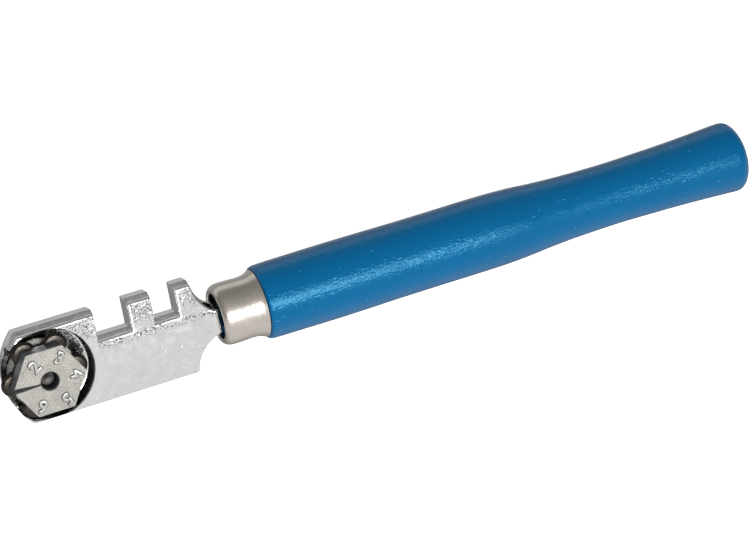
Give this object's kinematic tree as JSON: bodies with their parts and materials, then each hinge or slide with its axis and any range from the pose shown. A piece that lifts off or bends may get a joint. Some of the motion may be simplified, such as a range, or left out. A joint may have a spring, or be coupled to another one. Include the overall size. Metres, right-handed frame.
{
  "type": "glass cutter",
  "caption": "Hand glass cutter: cast head with an indexing hexagonal turret of cutting wheels, breaker notches for nibbling glass edges, a metal ferrule and a turned wooden handle.",
  "frame": {"origin": "centre of the bounding box's base, under the middle of the tool, on the surface that the handle lies on", "axes": "+X from the cutting wheel along the handle to its butt, +Y out of the breaker notches, +Z out of the numbered face of the turret"},
  "size_m": [0.1298, 0.015, 0.0122],
  "materials": {
    "head_chrome": "bright chrome plate on a slightly pitted die casting",
    "turret_steel": "satin sintered steel, fine grained",
    "wheel_steel": "hardened tool steel, ground edge",
    "axle_steel": "drawn steel pin",
    "screw_steel": "plain steel",
    "ferrule_nickel": "polished nickel plate",
    "handle_paint": "turned hardwood under blue gloss paint"
  },
  "bodies": {
    "tool_body": {"handle": "handle_paint", "ferrule": "ferrule_nickel", "head_casting": "head_chrome", "friction_washer": "screw_steel"},
    "turret": {"turret_front_plate": "turret_steel", "turret_back_plate": "turret_steel", "wheel_axle_1": "axle_steel", "wheel_axle_2": "axle_steel", "wheel_axle_3": "axle_steel", "wheel_axle_4": "axle_steel", "wheel_axle_5": "axle_steel", "wheel_axle_6": "axle_steel"},
    "pivot_screw_body": {"pivot_screw": "screw_steel"},
    "wheel_1_body": {"wheel_1": "wheel_steel"},
    "wheel_2_body": {"wheel_2": "wheel_steel"},
    "wheel_3_body": {"wheel_3": "wheel_steel"},
    "wheel_4_body": {"wheel_4": "wheel_steel"},
    "wheel_5_body": {"wheel_5": "wheel_steel"},
    "wheel_6_body": {"wheel_6": "wheel_steel"}
  },
  "joints": [
    {"name": "turret_index", "type": "hinge", "parent": "tool_body", "child": "turret", "pos_m": [-0.0578, 0, 0.00612], "axis": [0, 0, 1], "continuous": true},
    {"name": "pivot_screw_turn", "type": "hinge", "parent": "tool_body", "child": "pivot_screw_body", "pos_m": [-0.0578, 0, 0.00612], "axis": [0, 0, 1], "continuous": true},
    {"name": "wheel_1_spin", "type": "hinge", "parent": "turret", "child": "wheel_1_body", "pos_m": [-0.0629, 0, 0.00817], "axis": [0, 0, 1], "continuous": true},
    {"name": "wheel_2_spin", "type": "hinge", "parent": "turret", "child": "wheel_2_body", "pos_m": [-0.06035, 0.00442, 0.00817], "axis": [0, 0, 1], "continuous": true},
    {"name": "wheel_3_spin", "type": "hinge", "parent": "turret", "child": "wheel_3_body", "pos_m": [-0.05525, 0.00442, 0.00817], "axis": [0, 0, 1], "continuous": true},
    {"name": "wheel_4_spin", "type": "hinge", "parent": "turret", "child": "wheel_4_body", "pos_m": [-0.0527, 0, 0.00817], "axis": [0, 0, 1], "continuous": true},
    {"name": "wheel_5_spin", "type": "hinge", "parent": "turret", "child": "wheel_5_body", "pos_m": [-0.05525, -0.00442, 0.00817], "axis": [0, 0, 1], "continuous": true},
    {"name": "wheel_6_spin", "type": "hinge", "parent": "turret", "child": "wheel_6_body", "pos_m": [-0.06035, -0.00442, 0.00817], "axis": [0, 0, 1], "continuous": true}
  ]
}
